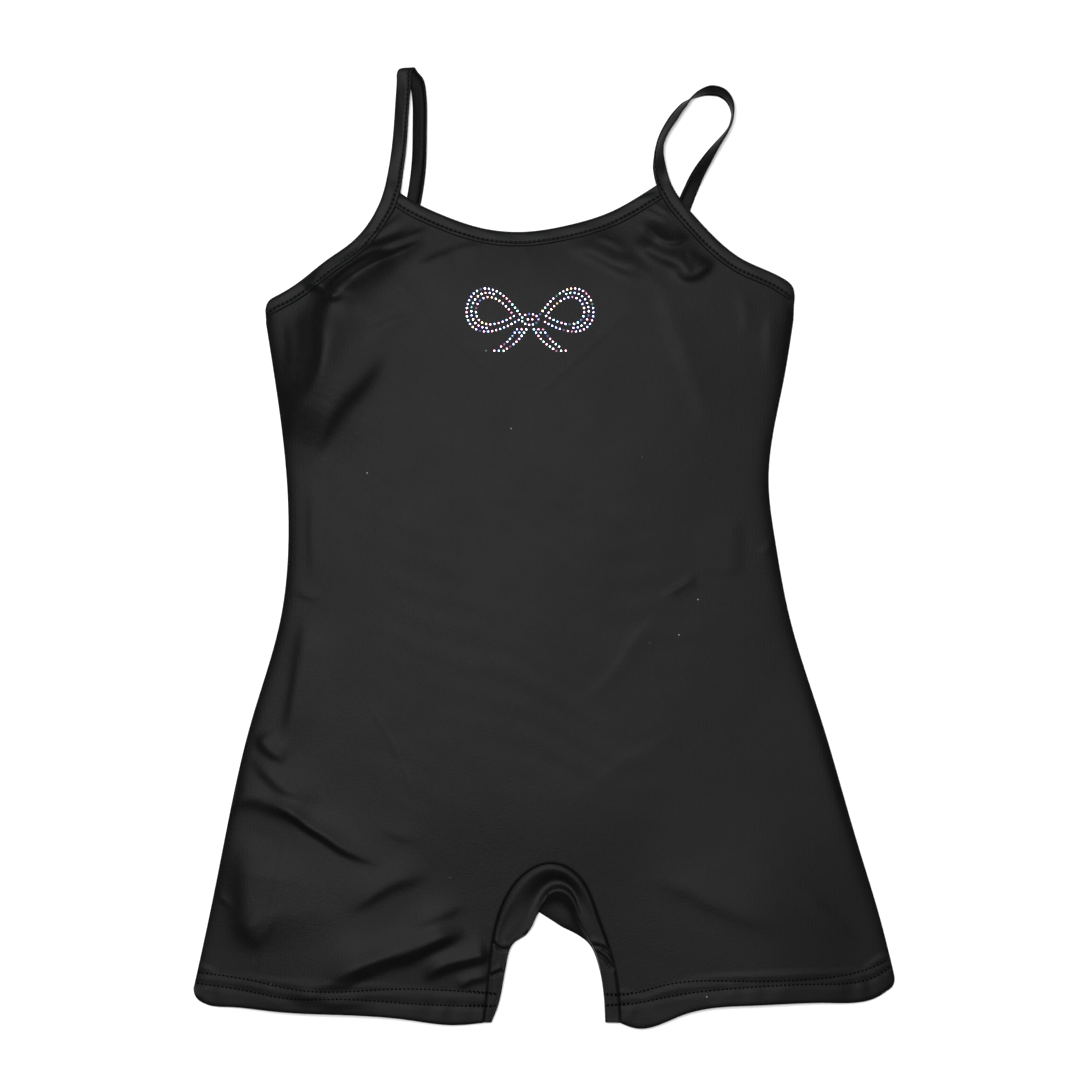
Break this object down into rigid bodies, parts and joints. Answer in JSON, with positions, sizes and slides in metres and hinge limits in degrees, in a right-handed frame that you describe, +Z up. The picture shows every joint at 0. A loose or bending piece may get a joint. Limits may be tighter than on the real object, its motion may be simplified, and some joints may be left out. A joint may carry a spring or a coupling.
{
  "type": "gymnastics leotard",
  "caption": "Short-legged gymnastics suit with thin shoulder straps, bound neck and armholes, coverstitched leg hems and a small stone bow on the chest.",
  "frame": {"origin": "under the middle of the suit's outline, on the surface it lies on", "axes": "+X towards the wearer's left, +Y from the leg hems to the straps, +Z up through the back layer and then the front"},
  "size_m": [0.4392, 0.6, 0.0107],
  "materials": {
    "knit": "matt stretch knit with a slight satin sheen",
    "binding": "smooth stretch binding, slight sheen",
    "thread": "spun polyester thread",
    "elastic": "flat rubber elastic",
    "label": "blank woven tape",
    "stones": "faceted, foil backed, iridescent"
  },
  "bodies": {
    "garment": {"front_panel": "knit", "back_panel": "knit", "crotch_gusset": "knit", "left_side_seam": "knit", "right_side_seam": "knit", "front_gusset_seam": "knit", "back_gusset_seam": "knit", "front_neck_binding": "binding", "back_neck_binding": "binding", "left_armhole_binding": "binding", "right_armhole_binding": "binding", "left_back_armhole_binding": "binding", "right_back_armhole_binding": "binding", "left_strap_tail": "binding", "right_strap_tail": "binding", "front_neck_stitching": "thread", "back_neck_stitching": "thread", "left_armhole_stitching": "thread", "right_armhole_stitching": "thread", "left_back_armhole_stitching": "thread", "right_back_armhole_stitching": "thread", "left_hem_stitching": "thread", "right_hem_stitching": "thread", "care_label": "label", "rhinestone_bow": "stones"},
    "left_strap": {"left_strap": "binding", "left_strap_elastic": "elastic", "left_strap_stitching": "thread"},
    "right_strap": {"right_strap": "binding", "right_strap_elastic": "elastic", "right_strap_stitching": "thread"}
  },
  "joints": [
    {"name": "left_strap_fold", "type": "hinge", "parent": "garment", "child": "left_strap", "pos_m": [0.083, 0.226, 0.0048], "axis": [1, 0, 0], "range_deg": [0, 160]},
    {"name": "right_strap_fold", "type": "hinge", "parent": "garment", "child": "right_strap", "pos_m": [-0.087, 0.226, 0.0048], "axis": [1, 0, 0], "range_deg": [0, 160]}
  ]
}
